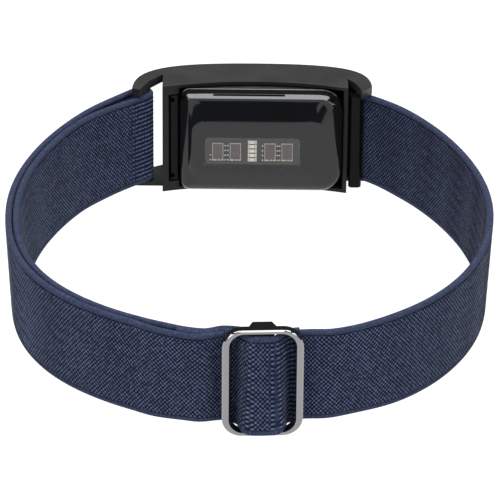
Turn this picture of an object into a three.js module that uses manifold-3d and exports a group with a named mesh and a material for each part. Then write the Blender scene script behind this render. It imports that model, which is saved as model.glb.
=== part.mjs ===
// Fitness tracker band: an elastic webbing loop with a metal slider, a plastic carrier frame and
// a clip-in tracker module. Millimetres, +Z up. The band stands on the edge of its strap: the
// tracker is at +Y with its sensor back facing -Y, into the loop, and the slider is at -Y.
import * as THREE from 'three';
import { mergeVertices } from 'three/addons/utils/BufferGeometryUtils.js';
import Module from 'manifold-3d';

const wasm = await Module();
wasm.setup();

const GAP = 0.3; // clearance between neighbouring pieces
const FINE_GAP = 0.15; // clearance between flat-sided pieces of the tracker

// Webbing
const STRAP_HEIGHT = 21.2;
const LAYER = 1.4; // one layer of webbing
const INNER_LAYER = 1.7; // from the loop's outer face to the inner layer's outer face
const UNDER_DEPTH = 4.35; // the same depth where the webbing lies behind the slider's reach
const FRONT_CENTRE = new THREE.Vector2(-0.75, 9.1); // centre of the round front of the loop
const FRONT_RADIUS = 51.25; // outer face of the webbing there
const FRONT_SPAN = 32; // degrees each way that the front stays round
const RIGHT_MOST = new THREE.Vector2(48.8, 12.0);
const LEFT_MOST = new THREE.Vector2(-50.6, 11.0);
const RIGHT_END = new THREE.Vector2(23.2, 65.4); // where the webbing leaves its clamp
const RIGHT_END_SLOPE = 33; // degrees below the X axis
const STRAP_INSERT = 1.2; // length of webbing held in the clamp
const LEFT_SLOPE = 43; // degrees, of the webbing where it leaves the left bar

// Slider
const SLIDER_ANGLE = 3.2; // degrees round the front, from -Y towards +X
const SLIDER_TRAVEL = 8; // degrees each way
const SLIDER_WIDTH = 16.0;
const SLIDER_HEIGHT = 23.8;
const SLIDER_SIDE_BAR = 1.35;
const SLIDER_END_BAR = 0.75;
const SLIDER_DEPTH = 2.15;
const SLIDER_BACK = 50.15; // distance of its back face from FRONT_CENTRE
const SLIDER_CORNER = 4.0;
const SLIDER_ROUNDING = 0.25; // of its outer edges
const WINDOW_STEP = { side: 0.65, end: 0.25, depth: 0.8, corner: 2 }; // its bevelled opening
const LUG = { inner: 11.15, outer: 11.8, root: 3.1, tip: 1.9 }; // carry the centre bar
const BAR_SETBACK = 0.65; // from the slider's back face to its centre bar
const BAR_DEPTH = 1.1;
const BAR_WIDTH = 1.9;
const SEWN_LAYER = 0.9; // thickness of the webbing where it is sewn round the centre bar
const PASS_CREST = 1.6; // half width of its crest over the centre bar
const PASS_FOOT = 5.3; // where it is back at the depth of the side bars
const PASS_REACH = 8.9; // half the length of webbing that passes through the slider

// Carrier frame
const CARRIER_HEIGHT = 25.6;
const BLOCK_LEFT = -20.25; // ends of the pocket block
const BLOCK_RIGHT = 20;
const CARRIER_FACE = 74.15; // outer face at the middle
const RIGHT_TIP = new THREE.Vector2(25.2, 61);
const LEFT_TIP = new THREE.Vector2(-26.8, 61);
const ARM_HEIGHT = 1.9;
const RIGHT_ARM_NEAR = 66.5; // wrist-side limits of the lower arms
const LEFT_ARM_NEAR = 63.3;
const CARRIER_CORNER = 1.6;
const SPRING_RECESS = { left: -19.6, near: 64.6, far: 67.2, half: 5 };
const DISPLAY_OPENING = { width: 31.6, height: 18.4, corner: 3.4 };
const LOWER_ARM_RISE = 0.8; // the lower arms' underside above the block's
const NEAR_MIDDLE = 65.1; // wrist-side edge of the block at the middle
const NEAR_END = 62.2; // and at its ends
const FACE_WALL = 1.6;
const BAR_CENTRE = new THREE.Vector2(-24.75, 64.6);
const BAR_RADIUS = 1.15;
const PIN = { tip: 0.5, hole: 0.75, cover: 1.2 }; // the bar's ends in the arms
const FOLD_RADIUS = 2.55; // outside of the webbing that wraps the left bar
const CLAMP = { left: 20.4, right: 23.2, near: 62.4, back: 68.2, low: -11.5, high: 10.5 };

// Latch
const LATCH = { left: -18.45, right: -16.85, near: 62.9, back: 67.4, half: 10.3 };
const NOTCH = { z: 9.2, half: 0.45, width: 0.8, depth: 1.2 }; // finger notches in the latch
const LATCH_RECESS = { left: -18.9, half: 10.6, back: 67.8 };

// Tracker module
const MODULE_LEFT = -16.4;
const MODULE_RIGHT = 18.8;
const MODULE_HALF_HEIGHT = 11.75;
const MODULE_CORNER = 4.6;
const MODULE_LEFT_CORNER = 2.2;
const MODULE_MIDDLE = (MODULE_LEFT + MODULE_RIGHT) / 2;
const BACK_PLANE = 60.0;
const PLATEAU_PLANE = 58.8;
const PLATEAU_RINGS = [ // the raised plateau's outlines, by height above the back plane
  { rise: 1.2, x: -1.2, z: -0.2, width: 26.4, height: 10.2, corner: 2.6 },
  { rise: 0.85, x: -0.7, z: -0.15, width: 29, height: 14.2, corner: 3.4 },
  { rise: 0.1, x: -0.1, z: 0.2, width: 31.4, height: 19.2, corner: 4.2 },
];
const BACK_ROUNDING = [ // by depth behind the back plane; tighter along the top edge
  { depth: 0, inset: 1.8, top: 0.65 },
  { depth: 0.5, inset: 0.7, top: 0.25 },
  { depth: 1.2, inset: 0.15, top: 0.05 },
  { depth: 2, inset: 0, top: 0 },
];
const BACK_HOLLOW = { width: 32, height: 18.6, corner: 3, near: 61.9 };
const TOP_SLOT = { left: -9.2, right: 6.3, near: 60.5, far: 61.1, depth: 0.7 };
const CASE_NEAR = 63.4;
const GLASS = { outer: 1.9, inner: 2.8 }; // depths below the carrier's outer face
const GASKET = { outer: 2.95, inner: 3.25 };
const CASE_FAR = 3.4;
const CASE_WALL = 1.1;
const WINDOW = { x: -0.6, z: -1.4, width: 20.4, height: 7.0, depth: 0.8, corner: 0.8 };
const DIODE = { width: 2.4, height: 4.25, depth: 0.5, z: -1.72 };
const DIODE_X = [-8.15, -4.33, 3.2, 6.92];
const EMITTER = { width: 1.9, height: 0.82, depth: 0.5, x: -0.65, pitch: 1.07, top: 0.6 };
const EMITTER_COUNT = 5;
const SENSOR_FACE = PLATEAU_PLANE + WINDOW.depth + FINE_GAP;

// ---------------------------------------------------------------- helpers

const radians = THREE.MathUtils.degToRad;

function toSolid(geometry) {
  const bare = new THREE.BufferGeometry();
  bare.setAttribute('position', geometry.getAttribute('position').clone());
  if (geometry.index) bare.setIndex(geometry.index.clone());
  const merged = mergeVertices(bare, 1e-5);
  return new wasm.Manifold(new wasm.Mesh({
    numProp: 3,
    vertProperties: new Float32Array(merged.getAttribute('position').array),
    triVerts: new Uint32Array(merged.index.array),
  }));
}

function toGeometry(solid) {
  const mesh = solid.getMesh();
  const geometry = new THREE.BufferGeometry();
  geometry.setAttribute('position', new THREE.BufferAttribute(mesh.vertProperties, 3));
  geometry.setIndex(new THREE.BufferAttribute(mesh.triVerts, 1));
  return geometry;
}

// A plan outline in x and y, raised from low to high.
function raise(points, low, high) {
  const geometry = new THREE.ExtrudeGeometry(new THREE.Shape(points), {
    depth: high - low, bevelEnabled: false,
  });
  geometry.translate(0, 0, low);
  return toSolid(geometry);
}

// A rounded rectangle's points, anticlockwise, with the radii of its right and left corners.
function roundedRectangle(x, y, width, height, right, steps = 6, left = right) {
  const points = [];
  for (let quarter = 0; quarter < 4; quarter += 1) {
    const side = quarter === 0 || quarter === 3 ? 1 : -1;
    const corner = side > 0 ? right : left;
    const cornerX = x + (width / 2 - corner) * side;
    const cornerY = y + (height / 2 - corner) * (quarter < 2 ? 1 : -1);
    for (let i = 0; i <= steps; i += 1) {
      const angle = (quarter + i / steps) * Math.PI / 2;
      points.push(new THREE.Vector2(
        cornerX + corner * Math.cos(angle), cornerY + corner * Math.sin(angle)));
    }
  }
  return points;
}

// An upright outline in x and z, pushed along y from near to far.
function push(outline, near, far) {
  return loft([{ y: near, outline }, { y: far, outline }]);
}

// A solid through outlines of equal point counts in x and z, given from near to far in y.
function loft(rings) {
  const count = rings[0].outline.length;
  const positions = [];
  for (const ring of rings) {
    for (const point of ring.outline) positions.push(point.x, ring.y, point.y);
  }
  const index = [];
  for (let r = 0; r + 1 < rings.length; r += 1) {
    for (let i = 0; i < count; i += 1) {
      const a = r * count + i;
      const b = r * count + ((i + 1) % count);
      index.push(a, b + count, b, a, a + count, b + count);
    }
  }
  const far = (rings.length - 1) * count;
  for (const [a, b, c] of THREE.ShapeUtils.triangulateShape(rings[0].outline, [])) {
    index.push(a, b, c);
  }
  for (const [a, b, c] of THREE.ShapeUtils.triangulateShape(rings.at(-1).outline, [])) {
    index.push(far + c, far + b, far + a);
  }
  const geometry = new THREE.BufferGeometry();
  geometry.setAttribute('position', new THREE.Float32BufferAttribute(positions, 3));
  geometry.setIndex(index);
  return toSolid(geometry);
}

function box(x0, x1, y0, y1, z0, z1) {
  const geometry = new THREE.BoxGeometry(x1 - x0, y1 - y0, z1 - z0);
  geometry.translate((x0 + x1) / 2, (y0 + y1) / 2, (z0 + z1) / 2);
  return toSolid(geometry);
}

// A plan path moved sideways; positive offsets are to the right of the direction of travel.
function offset(path, distance) {
  return path.map((point, i) => {
    const before = path[Math.max(i - 1, 0)];
    const after = path[Math.min(i + 1, path.length - 1)];
    const along = after.clone().sub(before).normalize();
    const shift = typeof distance === 'function' ? distance(i / (path.length - 1)) : distance;
    return new THREE.Vector2(point.x + along.y * shift, point.y - along.x * shift);
  });
}

// A strip of webbing between two offsets of a plan path.
function strip(path, first, second, half = STRAP_HEIGHT / 2) {
  const outline = [...offset(path, first), ...offset(path, second).reverse()];
  return raise(THREE.ShapeUtils.area(outline) > 0 ? outline : outline.reverse(), -half, half);
}

function bezier(start, startHandle, endHandle, end, steps) {
  return new THREE.CubicBezierCurve(start, startHandle, endHandle, end).getPoints(steps);
}

// Points round the front of the loop, between two angles measured from -Y towards +X.
function frontArc(radius, from, to, step = 4) {
  const count = Math.max(2, Math.ceil(Math.abs(to - from) / step));
  return Array.from({ length: count + 1 }, (_, i) => {
    const angle = radians(from + (to - from) * i / count);
    return new THREE.Vector2(
      FRONT_CENTRE.x + radius * Math.sin(angle), FRONT_CENTRE.y - radius * Math.cos(angle));
  });
}

const along = (point, degrees, length) => new THREE.Vector2(
  point.x + length * Math.cos(radians(degrees)), point.y + length * Math.sin(radians(degrees)));

const join = (...paths) => paths.flatMap((path, i) => (i ? path.slice(1) : path));

// ---------------------------------------------------------------- the loop's plan path

// Outer face of the right side, from the round front to the clamp.
function rightSide() {
  const start = frontArc(FRONT_RADIUS, FRONT_SPAN, FRONT_SPAN + 1)[0];
  return join(
    bezier(start, along(start, FRONT_SPAN, 14), along(RIGHT_MOST, -90, 23), RIGHT_MOST, 9),
    bezier(RIGHT_MOST, along(RIGHT_MOST, 90, 23.5), along(RIGHT_END, -RIGHT_END_SLOPE, 14.8),
      RIGHT_END, 11),
  );
}

// Where the outer layer leaves the wrap round the left bar.
const LEFT_END = along(BAR_CENTRE, 90 + LEFT_SLOPE, FOLD_RADIUS);

// Outer face of the left side, from the round front to the left bar.
function leftSide() {
  const start = frontArc(FRONT_RADIUS, -FRONT_SPAN, -FRONT_SPAN - 1)[0];
  return join(
    bezier(start, along(start, 180 - FRONT_SPAN, 18.8), along(LEFT_MOST, -90, 21),
      LEFT_MOST, 9),
    bezier(LEFT_MOST, along(LEFT_MOST, 90, 25.5), along(LEFT_END, 180 + LEFT_SLOPE, 15),
      LEFT_END, 11),
  );
}

// Half the angle that the slider and its webbing can reach, either side of their rest place.
const SLIDER_REACH = THREE.MathUtils.radToDeg(PASS_REACH / FRONT_RADIUS) + SLIDER_TRAVEL;

// A path moved inwards behind the slider's reach, and back out to its own place beyond it.
function dipped(path, depth) {
  return path.map((point) => {
    const outward = point.clone().sub(FRONT_CENTRE);
    const angle = THREE.MathUtils.radToDeg(Math.atan2(outward.x, -outward.y));
    const away = Math.abs(angle - SLIDER_ANGLE) - SLIDER_REACH;
    return point.clone().sub(outward.setLength(
      depth * (1 - THREE.MathUtils.smoothstep(away, 2, 16))));
  });
}

function strapRightRun() {
  const front = frontArc(FRONT_RADIUS, SLIDER_ANGLE, FRONT_SPAN, 3);
  const inserted = [RIGHT_END, along(RIGHT_END, 180 - RIGHT_END_SLOPE, STRAP_INSERT)];
  return strip(dipped(join(front, rightSide(), inserted), UNDER_DEPTH), 0, -LAYER);
}

function strapLeftOuter() {
  const front = frontArc(FRONT_RADIUS, SLIDER_ANGLE - SLIDER_REACH - 1, -FRONT_SPAN, 3);
  return strip(join(front, leftSide()), 0, LAYER);
}

// The returning layer closes up to the outer one away from the bar it wraps.
function strapLeftInner() {
  const front = frontArc(FRONT_RADIUS, SLIDER_ANGLE - 1, -FRONT_SPAN, 3);
  const path = dipped(join(front, leftSide()), UNDER_DEPTH - INNER_LAYER);
  const opening = (share) => THREE.MathUtils.smoothstep(share, 0.62, 1);
  const face = (share) => INNER_LAYER + opening(share) * (2 * FOLD_RADIUS - LAYER - INNER_LAYER);
  return strip(path, face, (share) => face(share) + LAYER);
}

// Half a turn round the left bar, on the side of the tracker.
function strapLeftFold() {
  const turn = (radius) => Array.from({ length: 13 }, (_, i) => along(
    BAR_CENTRE, 90 + LEFT_SLOPE - 8 - i * 164 / 12, radius));
  const outline = [...turn(FOLD_RADIUS).reverse(), ...turn(FOLD_RADIUS - LAYER + 0.15)];
  return raise(outline, -STRAP_HEIGHT / 2, STRAP_HEIGHT / 2);
}

// ---------------------------------------------------------------- the slider

// Slider parts are drawn flat at the origin, facing -Y, and turned into place round the loop.
function placeOnFront(solid) {
  const geometry = toGeometry(solid);
  geometry.rotateZ(radians(SLIDER_ANGLE));
  geometry.translate(FRONT_CENTRE.x, FRONT_CENTRE.y, 0);
  return geometry;
}

// The frame, its centre bar and the two lugs that set the bar back are one casting.
function sliderBuckle() {
  const back = -SLIDER_BACK;
  const front = back - SLIDER_DEPTH;
  const soften = SLIDER_ROUNDING;
  const outer = (inset) => roundedRectangle(
    0, 0, SLIDER_WIDTH - 2 * inset, SLIDER_HEIGHT - 2 * inset, SLIDER_CORNER - inset, 8);
  const plate = loft([
    { y: front, outline: outer(soften) },
    { y: front + soften, outline: outer(0) },
    { y: back - soften, outline: outer(0) },
    { y: back, outline: outer(soften) },
  ]);
  const openWidth = SLIDER_WIDTH - 2 * SLIDER_SIDE_BAR;
  const openHeight = SLIDER_HEIGHT - 2 * SLIDER_END_BAR;
  const wide = roundedRectangle(0, 0, openWidth, openHeight, SLIDER_CORNER - 1, 8);
  const narrow = roundedRectangle(0, 0, openWidth - 2 * WINDOW_STEP.side,
    openHeight - 2 * WINDOW_STEP.end, WINDOW_STEP.corner, 8);
  const window = loft([
    { y: front - 1, outline: wide }, { y: front, outline: wide },
    { y: front + WINDOW_STEP.depth, outline: narrow }, { y: back + 1, outline: narrow },
  ]);
  const barFace = back + BAR_SETBACK;
  const barBack = barFace + BAR_DEPTH;
  const lug = (sign) => raise([
    new THREE.Vector2(-LUG.root, back - 1), new THREE.Vector2(LUG.root, back - 1),
    new THREE.Vector2(LUG.tip, barBack), new THREE.Vector2(-LUG.tip, barBack),
  ], ...(sign > 0 ? [LUG.inner, LUG.outer] : [-LUG.outer, -LUG.inner]));
  const bar = push(roundedRectangle(0, 0, BAR_WIDTH, 2 * LUG.inner + 0.8, 0.5, 2),
    barFace, barBack);
  return placeOnFront(plate.subtract(window).add(lug(1)).add(lug(-1)).add(bar));
}

// Webbing that comes up behind one side bar, over the centre bar and down behind the other.
function strapSliderPass() {
  const low = SLIDER_BACK - 0.05; // outer face behind the side bars
  const high = SLIDER_BACK + 2.6; // outer face over the centre bar
  const path = Array.from({ length: 25 }, (_, i) => {
    const x = -PASS_REACH + 2 * PASS_REACH * i / 24;
    const rise = 1 - THREE.MathUtils.smoothstep(Math.abs(x), PASS_CREST, PASS_FOOT);
    const sag = Math.sqrt(low * low - x * x);
    return new THREE.Vector2(x, -sag - (high - low) * rise);
  });
  return placeOnFront(strip(path, 0, -LAYER + 0.1));
}

// The sewn end of the webbing, looped round the centre bar.
function strapSewnEnd() {
  const barMiddle = -SLIDER_BACK + BAR_SETBACK + BAR_DEPTH / 2;
  const outline = (grow) => roundedRectangle(
    0, barMiddle, BAR_WIDTH + 2 * grow, BAR_DEPTH + 2 * grow, 0.45 + grow, 5);
  const shell = raise(outline(SEWN_LAYER + GAP), -STRAP_HEIGHT / 2, STRAP_HEIGHT / 2);
  const hollow = raise(outline(GAP), -STRAP_HEIGHT, STRAP_HEIGHT);
  return placeOnFront(shell.subtract(hollow));
}

// ---------------------------------------------------------------- the carrier frame

// The outer face in plan, from the left arm's tip over the middle to the right arm's tip.
function facePath() {
  const middle = new THREE.Vector2(0, CARRIER_FACE);
  const left = bezier(middle, new THREE.Vector2(-19.5, CARRIER_FACE),
    new THREE.Vector2(-26.6, 71), LEFT_TIP, 16);
  const right = bezier(middle, new THREE.Vector2(20.5, CARRIER_FACE),
    new THREE.Vector2(25.6, 71.3), RIGHT_TIP, 16);
  return join(left.reverse(), right);
}

// The face path set back by a depth, between two x values.
function facePart(depth, left, right) {
  const path = offset(facePath(), depth);
  const heightAt = (x) => {
    const i = path.findIndex((point) => point.x >= x);
    const share = (x - path[i - 1].x) / (path[i].x - path[i - 1].x);
    return THREE.MathUtils.lerp(path[i - 1].y, path[i].y, share);
  };
  return [
    new THREE.Vector2(left, heightAt(left)),
    ...path.filter((point) => point.x > left + 0.05 && point.x < right - 0.05),
    new THREE.Vector2(right, heightAt(right)),
  ];
}

function nearEdge() {
  return Array.from({ length: 13 }, (_, i) => {
    const x = BLOCK_LEFT + (BLOCK_RIGHT - BLOCK_LEFT) * i / 12;
    const y = NEAR_MIDDLE - (NEAR_MIDDLE - NEAR_END) * (x / BLOCK_RIGHT) ** 2;
    return new THREE.Vector2(x, y);
  });
}

// Arms over the webbing's ends. Their wrist sides are given by points from right to left.
function upperArm(side, nearSide) {
  const root = side > 0 ? BLOCK_RIGHT - 1 : BLOCK_LEFT + 1;
  const far = side > 0 ? facePart(0, root, RIGHT_TIP.x - 0.02)
    : facePart(0, LEFT_TIP.x + 0.02, root);
  const top = CARRIER_HEIGHT / 2;
  const near = nearSide.map(([x, y]) => new THREE.Vector2(x, y));
  return raise([...near.reverse(), ...far.reverse()], top - ARM_HEIGHT, top);
}

function lowerArm(side) {
  const root = side > 0 ? BLOCK_RIGHT - 1 : BLOCK_LEFT + 1;
  const tip = side > 0 ? RIGHT_TIP : LEFT_TIP;
  const near = side > 0 ? RIGHT_ARM_NEAR : LEFT_ARM_NEAR;
  const far = side > 0 ? facePart(0, root, tip.x - 0.02) : facePart(0, tip.x + 0.02, root);
  const low = new THREE.Vector2(side > 0 ? tip.x - 0.02 : root, tip.y - 1);
  const lowLeft = new THREE.Vector2(side > 0 ? root : tip.x + 0.02, tip.y - 1);
  const base = LOWER_ARM_RISE - CARRIER_HEIGHT / 2;
  return raise([lowLeft, low, ...far.reverse()], base, ARM_HEIGHT - CARRIER_HEIGHT / 2)
    .intersect(box(-30, 30, near, 80, base, 0));
}

function carrierFrame() {
  const top = CARRIER_HEIGHT / 2;
  const block = raise(
    [...nearEdge(), ...facePart(0, BLOCK_LEFT, BLOCK_RIGHT).reverse()], -top, top);
  const rightArm = upperArm(1, [[22.9, 60.2], [22.6, 62.4], [21.6, 64.8], [19, 68.3]]);
  const leftArm = upperArm(-1, [
    [BLOCK_LEFT + 1, 69.0], [-20.6, 68.0], [-23.2, 64.8], [-24.3, 62.4], [-25.1, 60.6]]);
  // Closes the gap between the block and the clamp from behind.
  const ledge = box(BLOCK_RIGHT - 0.5, 21.6, CLAMP.back + GAP, 69.7, ARM_HEIGHT - top, top - 1);
  const pocketHalf = MODULE_HALF_HEIGHT + GAP;
  const left = MODULE_LEFT - GAP;
  const right = MODULE_RIGHT + GAP;
  const pocket = raise([
    new THREE.Vector2(left, NEAR_END - 3), new THREE.Vector2(right, NEAR_END - 3),
    ...facePart(FACE_WALL, left, right).reverse(),
  ], -pocketHalf, pocketHalf);
  const displayWindow = push(roundedRectangle(
    MODULE_MIDDLE, 0, DISPLAY_OPENING.width, DISPLAY_OPENING.height, DISPLAY_OPENING.corner),
  CARRIER_FACE - 8, CARRIER_FACE + 2);
  const latchRecess = box(LATCH_RECESS.left, left + 1, NEAR_END - 3, LATCH_RECESS.back,
    -LATCH_RECESS.half, LATCH_RECESS.half);
  const springRecess = box(SPRING_RECESS.left, LATCH_RECESS.left + 1,
    SPRING_RECESS.near, SPRING_RECESS.far, -SPRING_RECESS.half, SPRING_RECESS.half);
  const pinHole = new THREE.CylinderGeometry(PIN.hole, PIN.hole, 2 * (top - PIN.cover), 16);
  pinHole.rotateX(Math.PI / 2);
  pinHole.translate(BAR_CENTRE.x, BAR_CENTRE.y, 0);
  // Upright corners are rounded as seen from the front.
  const rounding = push(roundedRectangle(
    0, 0, 2 * BLOCK_RIGHT + 16, CARRIER_HEIGHT, CARRIER_CORNER, 4), NEAR_END - 12, CARRIER_FACE + 6);
  return block.add(rightArm).add(leftArm).add(lowerArm(1)).add(lowerArm(-1)).add(ledge)
    .intersect(rounding).subtract(pocket).subtract(displayWindow)
    .subtract(latchRecess).subtract(springRecess).subtract(toSolid(pinHole));
}

// A stepped pin whose ends sit in the left arms.
function strapBar() {
  const tip = PIN.tip;
  const shoulder = CARRIER_HEIGHT / 2 - ARM_HEIGHT - GAP;
  const end = CARRIER_HEIGHT / 2 - PIN.cover - GAP;
  const profile = [
    [0, -end], [tip, -end], [tip, -shoulder], [BAR_RADIUS, -shoulder],
    [BAR_RADIUS, shoulder], [tip, shoulder], [tip, end], [0, end],
  ].map(([x, y]) => new THREE.Vector2(x, y));
  const geometry = new THREE.LatheGeometry(profile, 16);
  geometry.rotateX(Math.PI / 2);
  geometry.translate(BAR_CENTRE.x, BAR_CENTRE.y, 0);
  return toSolid(geometry);
}

// A bar that overlaps the lower arm in front and holds the webbing's end in a slot behind.
function strapEndClamp() {
  const bar = raise(roundedRectangle(
    (CLAMP.left + CLAMP.right) / 2, CLAMP.near + 1.2, CLAMP.right - CLAMP.left, 2.4, 0.9, 5),
  CLAMP.low, CLAMP.high);
  const tongue = box(CLAMP.left, CLAMP.right - 0.2, CLAMP.near + 1.6, CLAMP.back,
    -CLAMP.high, CLAMP.high);
  const inside = along(RIGHT_END, 180 - RIGHT_END_SLOPE, STRAP_INSERT + GAP);
  const slot = strip([along(RIGHT_END, -RIGHT_END_SLOPE, 3), RIGHT_END, inside],
    GAP, -LAYER - GAP, STRAP_HEIGHT);
  return bar.add(tongue).subtract(slot);
}

function latchSlider() {
  const outline = roundedRectangle(
    (LATCH.left + LATCH.right) / 2, 0, LATCH.right - LATCH.left, 2 * LATCH.half, 0.3, 2);
  const panel = push(outline, LATCH.near, LATCH.back);
  const notch = (z) => box(LATCH.left - 1, LATCH.left + NOTCH.width, LATCH.near - 1,
    LATCH.near + NOTCH.depth, z - NOTCH.half, z + NOTCH.half);
  return panel.subtract(notch(NOTCH.z)).subtract(notch(-NOTCH.z));
}

// A bowed leaf behind the latch.
function latchSpring() {
  const bow = Array.from({ length: 11 }, (_, i) => {
    const z = -4.4 + 8.8 * i / 10;
    return new THREE.Vector2(-19.45 + 0.28 * Math.cos(Math.PI * z / 8.8), z);
  });
  const thickness = 0.16;
  const outline = [
    ...bow.map((point) => new THREE.Vector2(point.x + thickness, point.y)),
    ...bow.reverse(),
  ];
  return push(outline, 64.9, 66.9);
}

// ---------------------------------------------------------------- the tracker module

// The module's outline as seen from the front, grown or shrunk all round.
const moduleOutline = (inset) => roundedRectangle(
  MODULE_MIDDLE, 0, MODULE_RIGHT - MODULE_LEFT - 2 * inset,
  2 * (MODULE_HALF_HEIGHT - inset), MODULE_CORNER - inset, 6, MODULE_LEFT_CORNER - inset);

// A slice of the module between two depths below the carrier's outer face.
function moduleSlice(outer, inner, inset) {
  const outline = [
    ...facePart(inner, MODULE_LEFT, MODULE_RIGHT),
    ...facePart(outer, MODULE_LEFT, MODULE_RIGHT).reverse(),
  ];
  const slab = raise(outline, -MODULE_HALF_HEIGHT, MODULE_HALF_HEIGHT);
  return slab.intersect(push(moduleOutline(inset), CASE_NEAR, CARRIER_FACE));
}

function displayGasket() {
  const hole = push(moduleOutline(1.2), CASE_NEAR, CARRIER_FACE);
  return moduleSlice(GASKET.outer, GASKET.inner, 0.2).subtract(hole);
}

function caseFrame() {
  const outline = [
    new THREE.Vector2(MODULE_LEFT, CASE_NEAR), new THREE.Vector2(MODULE_RIGHT, CASE_NEAR),
    ...facePart(CASE_FAR, MODULE_LEFT, MODULE_RIGHT).reverse(),
  ];
  const slab = raise(outline, -MODULE_HALF_HEIGHT, MODULE_HALF_HEIGHT);
  const inside = push(moduleOutline(CASE_WALL), CASE_NEAR - 1, CARRIER_FACE);
  return slab.intersect(push(moduleOutline(0), CASE_NEAR - 1, CARRIER_FACE)).subtract(inside);
}

// The same outline with an inset of its own at the top.
const backOutline = (inset, top) => roundedRectangle(
  MODULE_MIDDLE, (inset - top) / 2, MODULE_RIGHT - MODULE_LEFT - 2 * inset,
  2 * MODULE_HALF_HEIGHT - inset - top, MODULE_CORNER - inset, 6, MODULE_LEFT_CORNER - inset);

// The wrist side: a flat back whose raised plateau slopes down all round.
function backCover() {
  const far = CASE_NEAR - FINE_GAP;
  const rings = [
    ...PLATEAU_RINGS.map(({ rise, x, z, width, height, corner }) => [
      BACK_PLANE - rise, roundedRectangle(MODULE_MIDDLE + x, z, width, height, corner)]),
    ...BACK_ROUNDING.map(({ depth, inset, top }) => [BACK_PLANE + depth, backOutline(inset, top)]),
    [far, moduleOutline(0)],
  ];
  const shell = loft(rings.map(([y, outline]) => ({ y, outline })));
  const seat = push(roundedRectangle(WINDOW.x, WINDOW.z, WINDOW.width + 2 * FINE_GAP,
    WINDOW.height + 2 * FINE_GAP, WINDOW.corner, 3), PLATEAU_PLANE - 1, far + 1);
  const hollow = push(roundedRectangle(MODULE_MIDDLE, 0, BACK_HOLLOW.width, BACK_HOLLOW.height,
    BACK_HOLLOW.corner), BACK_HOLLOW.near, far + 1);
  const slot = box(TOP_SLOT.left, TOP_SLOT.right, TOP_SLOT.near, TOP_SLOT.far,
    MODULE_HALF_HEIGHT - TOP_SLOT.depth, MODULE_HALF_HEIGHT + 1);
  return shell.subtract(seat).subtract(hollow).subtract(slot);
}

const plate = (x, z, width, height, near, depth, corner = 0.5) => push(
  roundedRectangle(x, z, width, height, corner, 3), near, near + depth);

const sensorWindow = () => plate(
  WINDOW.x, WINDOW.z, WINDOW.width, WINDOW.height, PLATEAU_PLANE, WINDOW.depth, WINDOW.corner);

const emitterZ = (i) => EMITTER.top - i * EMITTER.pitch;

// Black walls that keep the emitters' light off the diodes.
function opticalBarrier() {
  const depth = DIODE.depth;
  let frame = plate(WINDOW.x, WINDOW.z, WINDOW.width - 0.4, WINDOW.height - 0.4,
    SENSOR_FACE, depth, 0.6);
  const opening = (x, z, width, height) => box(
    x - width / 2 - FINE_GAP, x + width / 2 + FINE_GAP, SENSOR_FACE - 1, SENSOR_FACE + 2,
    z - height / 2 - FINE_GAP, z + height / 2 + FINE_GAP);
  for (const x of DIODE_X) {
    frame = frame.subtract(opening(x, DIODE.z, DIODE.width, DIODE.height));
  }
  const middle = (emitterZ(0) + emitterZ(EMITTER_COUNT - 1)) / 2;
  const span = EMITTER.pitch * (EMITTER_COUNT - 1) + EMITTER.height;
  return frame.subtract(opening(EMITTER.x, middle, EMITTER.width, span));
}

function vibrationMotor() {
  const geometry = new THREE.CylinderGeometry(3.6, 3.6, 2.7, 24);
  geometry.translate(13.6, 66.9, -5.2);
  return toSolid(geometry);
}

// ---------------------------------------------------------------- assembly

const finish = (color, roughness, metalness) => new THREE.MeshStandardMaterial(
  { color, roughness, metalness });

const group = new THREE.Group();

function addPart(name, shape, material) {
  const geometry = shape.isBufferGeometry ? shape : toGeometry(shape);
  const mesh = new THREE.Mesh(geometry, material);
  mesh.name = name;
  group.add(mesh);
}

const satinBlack = finish(0x26272a, 0.5, 0);
const glossBlack = finish(0x0b0c0e, 0.08, 0);
const navy = finish(0x2a3358, 0.9, 0);
const steel = finish(0x9a9a9e, 0.25, 1);
const board = finish(0x14442e, 0.6, 0);

addPart('carrier_frame', carrierFrame(), satinBlack);
addPart('strap_bar', strapBar(), steel);
addPart('strap_end_clamp', strapEndClamp(), glossBlack);
addPart('latch_slider', latchSlider(), satinBlack);
addPart('latch_spring', latchSpring(), steel);
addPart('strap_right_run', strapRightRun(), navy);
addPart('strap_left_outer', strapLeftOuter(), navy);
addPart('strap_left_fold', strapLeftFold(), navy);
addPart('strap_left_inner', strapLeftInner(), navy);
addPart('strap_slider_pass', strapSliderPass(), navy);
addPart('strap_sewn_end', strapSewnEnd(), navy);
addPart('slider_buckle', sliderBuckle(), steel);
addPart('back_cover', backCover(), glossBlack);
addPart('sensor_window', sensorWindow(), finish(0x15181a, 0.05, 0));
addPart('case_frame', caseFrame(), finish(0x5c5d60, 0.3, 1));
addPart('display_gasket', displayGasket(), finish(0x0a0a0a, 0.9, 0));
addPart('display_glass', moduleSlice(GLASS.outer, GLASS.inner, 0), finish(0x050507, 0.04, 0));
addPart('display_panel', plate(MODULE_MIDDLE, 0, 28, 16.8, 68.55, 0.7, 1.5), glossBlack);
addPart('battery', plate(-2.6, 0, 22, 17.4, 65.3, 2.9, 0.8), finish(0xb9bcc0, 0.4, 0.6));
addPart('vibration_motor', vibrationMotor(), steel);
addPart('main_board', plate(MODULE_MIDDLE, 0, 31.6, 18.8, 64.1, 0.8, 2.2), board);
addPart('sensor_board', plate(WINDOW.x, WINDOW.z, 26, 14, 61.95 + GAP, 0.6, 1), board);
addPart('sensor_spacer', plate(
  WINDOW.x, WINDOW.z, 20, 6.6, SENSOR_FACE + DIODE.depth + FINE_GAP, 1.65, 0.6), board);
addPart('optical_barrier', opticalBarrier(), finish(0x0d0f0f, 0.7, 0));
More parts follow.
